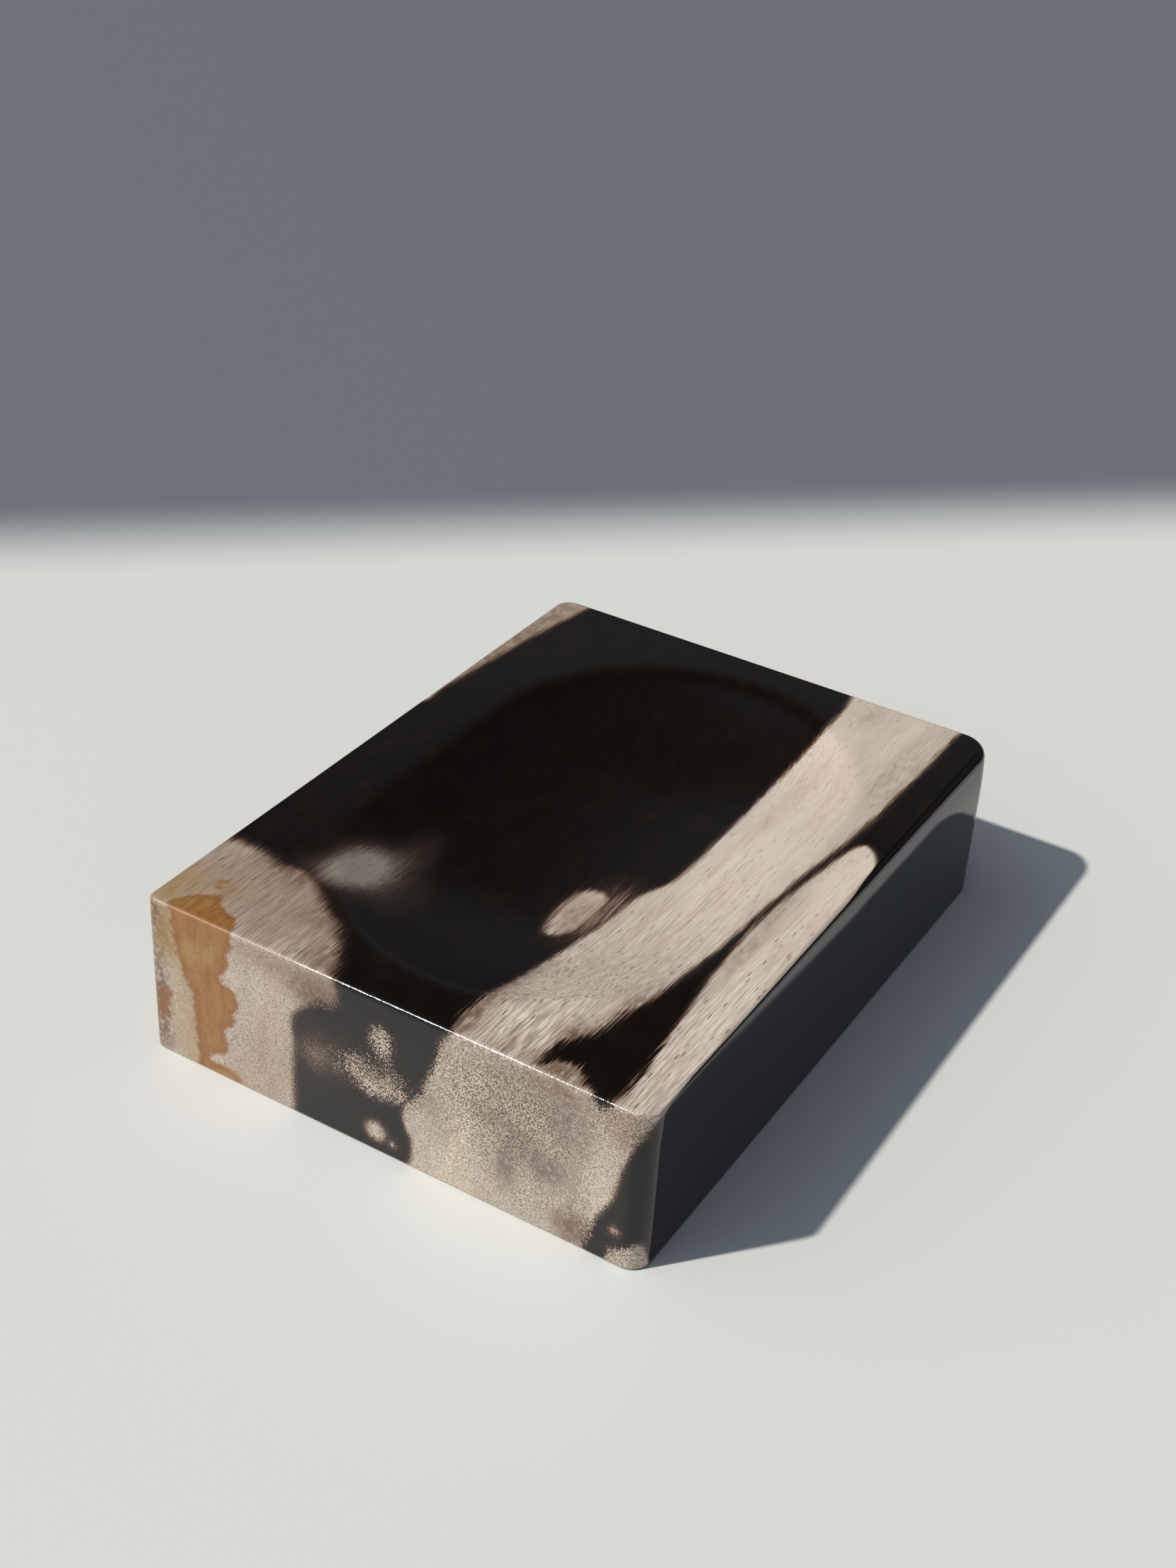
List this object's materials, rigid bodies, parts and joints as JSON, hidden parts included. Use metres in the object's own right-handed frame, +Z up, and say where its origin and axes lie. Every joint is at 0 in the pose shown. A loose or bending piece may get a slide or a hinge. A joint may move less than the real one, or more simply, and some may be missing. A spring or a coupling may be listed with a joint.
{
  "type": "shallow stone dish",
  "caption": "Rectangular block of polished petrified wood with rounded corners and a shallow round-ended hollow sunk in its top.",
  "frame": {"origin": "centre of the bounding box at the underside, where the block rests", "axes": "+Z up out of the hollow, +Y along the block's length, +X across its width"},
  "size_m": [0.092, 0.124, 0.03],
  "materials": {
    "petrified_wood": "polished petrified wood: black mineral crossed by pale tan grained bands, amber at one corner"
  },
  "bodies": {
    "root": {"stone_block": "petrified_wood"}
  },
  "joints": []
}
